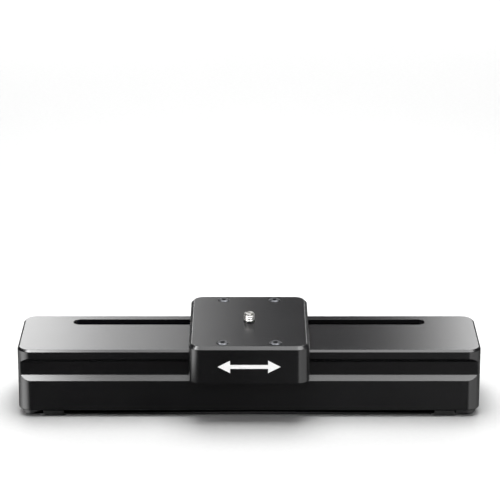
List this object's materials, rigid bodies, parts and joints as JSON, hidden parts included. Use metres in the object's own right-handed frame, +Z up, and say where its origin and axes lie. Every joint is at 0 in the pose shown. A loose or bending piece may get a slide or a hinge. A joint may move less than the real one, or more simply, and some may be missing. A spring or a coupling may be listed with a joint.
{
  "type": "camera slider",
  "caption": "Low motorised camera slider: a grooved and slotted aluminium body carries a C-shaped carriage with a threaded camera stud, driven by a leadscrew.",
  "frame": {"origin": "on the surface that the feet stand on, below the middle of the body", "axes": "+X along the travel, -Y the front, +Z up through the camera stud"},
  "size_m": [0.26, 0.087, 0.0521],
  "materials": {
    "black_anodised_aluminium": "semi-gloss black anodised",
    "base_plastic": "fine moulded grain",
    "foot_rubber": "matte moulded rubber",
    "black_oxide_steel": "black oxide",
    "bright_steel": "bright turned steel",
    "turned_brass": "turned brass",
    "milled_aluminium": "milled, unpainted",
    "acetal": "turned acetal, slightly waxy",
    "moulded_plastic": "fine spark grain",
    "battery_wrap": "shrunk film",
    "circuit_board": "solder mask",
    "lead_jacket": "soft vinyl",
    "clear_plastic": "polished lens"
  },
  "bodies": {
    "base": {"base_plate": "base_plastic", "base_screw_1": "black_oxide_steel", "base_screw_2": "black_oxide_steel", "base_screw_3": "black_oxide_steel", "base_screw_4": "black_oxide_steel", "base_screw_5": "black_oxide_steel", "base_screw_6": "black_oxide_steel", "base_screw_7": "black_oxide_steel", "base_screw_8": "black_oxide_steel", "battery_lead": "lead_jacket", "battery_pack": "battery_wrap", "control_board": "circuit_board", "dc_socket": "moulded_plastic", "drive_end_plate": "milled_aluminium", "drive_motor": "black_oxide_steel", "front_left_foot": "foot_rubber", "front_right_foot": "foot_rubber", "gearbox": "bright_steel", "housing": "black_anodised_aluminium", "left_bearing_block": "milled_aluminium", "left_end_bumper": "foot_rubber", "left_screw_bearing": "bright_steel", "link_port": "moulded_plastic", "motor_lead": "lead_jacket", "rear_left_foot": "foot_rubber", "rear_right_foot": "foot_rubber", "right_end_bumper": "foot_rubber", "right_screw_bearing": "bright_steel", "status_light": "clear_plastic", "tripod_bush": "bright_steel"},
    "carriage": {"carriage_body": "black_anodised_aluminium", "camera_stud": "bright_steel", "stud_retainer": "black_oxide_steel", "drive_arm": "milled_aluminium", "drive_nut": "turned_brass", "left_arm_screw": "black_oxide_steel", "right_arm_screw": "black_oxide_steel", "front_roller_block": "milled_aluminium", "rear_roller_block": "milled_aluminium", "carriage_screw_front_left": "black_oxide_steel", "carriage_screw_front_right": "black_oxide_steel", "carriage_screw_rear_left": "black_oxide_steel", "carriage_screw_rear_right": "black_oxide_steel", "front_left_roller_axle": "bright_steel", "front_right_roller_axle": "bright_steel", "rear_left_roller_axle": "bright_steel", "rear_right_roller_axle": "bright_steel"},
    "leadscrew": {"leadscrew": "bright_steel", "screw_gear": "turned_brass", "screw_collar": "black_oxide_steel"},
    "pinion": {"motor_shaft": "bright_steel", "motor_pinion": "bright_steel"},
    "front_left_roller": {"front_left_roller": "acetal"},
    "front_right_roller": {"front_right_roller": "acetal"},
    "rear_left_roller": {"rear_left_roller": "acetal"},
    "rear_right_roller": {"rear_right_roller": "acetal"},
    "power_button": {"power_button": "moulded_plastic"}
  },
  "joints": [
    {"name": "carriage_slide", "type": "slide", "parent": "base", "child": "carriage", "axis": [1, 0, 0], "range_m": [-0.075, 0.075]},
    {"name": "screw_spin", "type": "hinge", "parent": "base", "child": "leadscrew", "pos_m": [0, 0.0123, 0.022], "axis": [1, 0, 0], "range_deg": [-4510, 4510]},
    {"name": "pinion_spin", "type": "hinge", "parent": "base", "child": "pinion", "pos_m": [0, -0.00181, 0.0169], "axis": [1, 0, 0], "range_deg": [-5155, 5155]},
    {"name": "front_left_roller_spin", "type": "hinge", "parent": "carriage", "child": "front_left_roller", "pos_m": [-0.0235, -0.03215, 0.0283], "axis": [0, 0, 1], "range_deg": [-785, 785]},
    {"name": "front_right_roller_spin", "type": "hinge", "parent": "carriage", "child": "front_right_roller", "pos_m": [0.0235, -0.03215, 0.0283], "axis": [0, 0, 1], "range_deg": [-785, 785]},
    {"name": "rear_left_roller_spin", "type": "hinge", "parent": "carriage", "child": "rear_left_roller", "pos_m": [-0.0235, 0.03215, 0.0283], "axis": [0, 0, 1], "range_deg": [-785, 785]},
    {"name": "rear_right_roller_spin", "type": "hinge", "parent": "carriage", "child": "rear_right_roller", "pos_m": [0.0235, 0.03215, 0.0283], "axis": [0, 0, 1], "range_deg": [-785, 785]},
    {"name": "power_button_press", "type": "slide", "parent": "base", "child": "power_button", "axis": [0, -1, 0], "range_m": [0, 0.0006], "stiffness_N_per_m": 800, "springref_m": -0.0012}
  ],
  "couplings": [
    {"joint": "screw_spin", "follows": "carriage_slide", "rad_per_m": -1047.2},
    {"joint": "pinion_spin", "follows": "carriage_slide", "rad_per_m": 1196.8},
    {"joint": "front_left_roller_spin", "follows": "carriage_slide", "rad_per_m": 181.82},
    {"joint": "front_right_roller_spin", "follows": "carriage_slide", "rad_per_m": 181.82},
    {"joint": "rear_left_roller_spin", "follows": "carriage_slide", "rad_per_m": -181.82},
    {"joint": "rear_right_roller_spin", "follows": "carriage_slide", "rad_per_m": -181.82}
  ]
}
